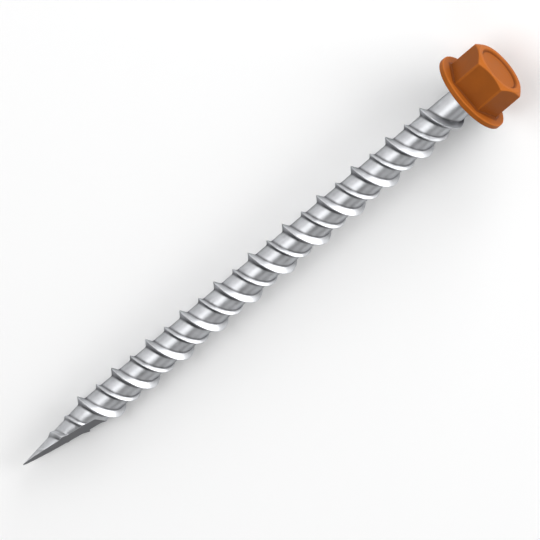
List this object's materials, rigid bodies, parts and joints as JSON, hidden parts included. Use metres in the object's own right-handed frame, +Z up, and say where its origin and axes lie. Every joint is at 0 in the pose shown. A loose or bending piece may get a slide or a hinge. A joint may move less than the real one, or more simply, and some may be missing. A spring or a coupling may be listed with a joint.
{
  "type": "panel screw",
  "caption": "Hex washer head panel screw with a brown painted head, a coarse high and low thread and a slashed self-drilling wood point, lying at rest.",
  "frame": {"origin": "on the floor, below the middle of the screw's length as it lies at rest", "axes": "+X along the floor from the tip to the head, +Z up; the screw's own axis rises towards the head by about 2.6 degrees from +X"},
  "size_m": [0.0694, 0.0092, 0.0092],
  "materials": {
    "zinc_steel": "zinc plated, satin"
  },
  "bodies": {
    "root": {"screw": "zinc_steel"}
  },
  "joints": []
}
